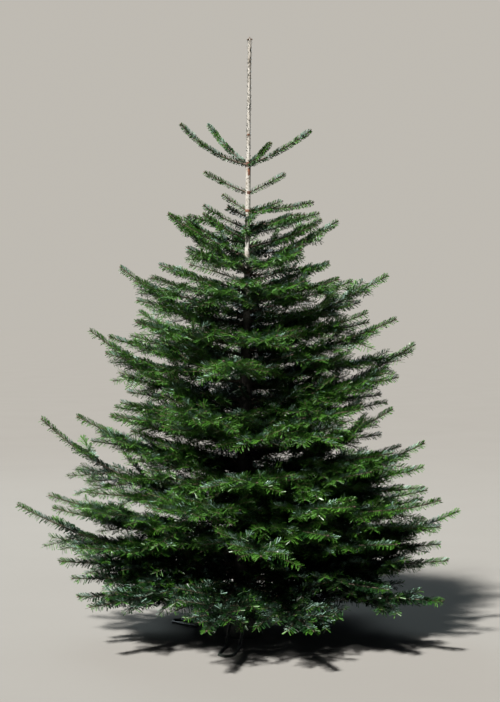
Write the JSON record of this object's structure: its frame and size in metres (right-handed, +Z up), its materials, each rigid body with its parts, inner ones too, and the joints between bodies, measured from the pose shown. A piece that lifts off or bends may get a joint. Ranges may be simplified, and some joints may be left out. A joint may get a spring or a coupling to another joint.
{
  "type": "cut fir Christmas tree in a stand",
  "caption": "Cut fir Christmas tree with tiers of rising boughs and a bare leader, standing in a plain steel stand with rod legs.",
  "frame": {"origin": "middle of the stand cup's flat underside, on the floor", "axes": "+Z up the trunk; -Y is the side that the picture shows; +X is the tree's right as seen in the picture"},
  "size_m": [1.4979, 1.195, 2.03],
  "materials": {
    "trunk_bark": "rough grey-beige bark",
    "bough_bark": "rough grey-brown bark",
    "needles": "waxy dark green",
    "stand_steel": "satin dark paint"
  },
  "bodies": {
    "root": {"bough_tier_01_1": "bough_bark", "bough_tier_01_2": "bough_bark", "bough_tier_01_3": "bough_bark", "bough_tier_01_4": "bough_bark", "bough_tier_01_5": "bough_bark", "bough_tier_01_6": "bough_bark", "bough_tier_03_1": "bough_bark", "foliage_tier_01_1": "needles", "foliage_tier_01_2": "needles", "foliage_tier_01_3": "needles", "foliage_tier_01_4": "needles", "foliage_tier_01_5": "needles", "foliage_tier_01_6": "needles", "foliage_tier_01_7": "needles", "foliage_tier_01_8": "needles", "foliage_tier_02_1": "needles", "foliage_tier_02_2": "needles", "foliage_tier_02_3": "needles", "foliage_tier_03_1": "needles", "foliage_tier_03_2": "needles", "foliage_tier_03_3": "needles", "foliage_tier_03_4": "needles", "foliage_tier_03_5": "needles", "foliage_tier_04_1": "needles", "foliage_tier_04_2": "needles", "foliage_tier_04_3": "needles", "foliage_tier_05_1": "needles", "foliage_tier_05_2": "needles", "foliage_tier_05_3": "needles", "foliage_tier_05_4": "needles", "foliage_tier_05_5": "needles", "foliage_tier_06_1": "needles", "foliage_tier_06_2": "needles", "foliage_tier_06_3": "needles", "foliage_tier_06_4": "needles", "foliage_tier_07_1": "needles", "foliage_tier_07_2": "needles", "foliage_tier_07_3": "needles", "foliage_tier_07_4": "needles", "foliage_tier_07_5": "needles", "foliage_tier_08_1": "needles", "foliage_tier_08_2": "needles", "foliage_tier_09_1": "needles", "foliage_tier_09_2": "needles", "foliage_tier_09_3": "needles", "foliage_tier_09_4": "needles", "foliage_tier_09_5": "needles", "foliage_tier_10_1": "needles", "foliage_tier_10_2": "needles", "foliage_tier_11_1": "needles", "foliage_tier_11_2": "needles", "foliage_tier_12_1": "needles", "foliage_tier_12_2": "needles", "foliage_tier_12_3": "needles", "foliage_tier_12_4": "needles", "stand_cup": "stand_steel", "stand_leg_1": "stand_steel", "stand_leg_2": "stand_steel", "stand_leg_3": "stand_steel", "trunk": "trunk_bark"}
  },
  "joints": []
}
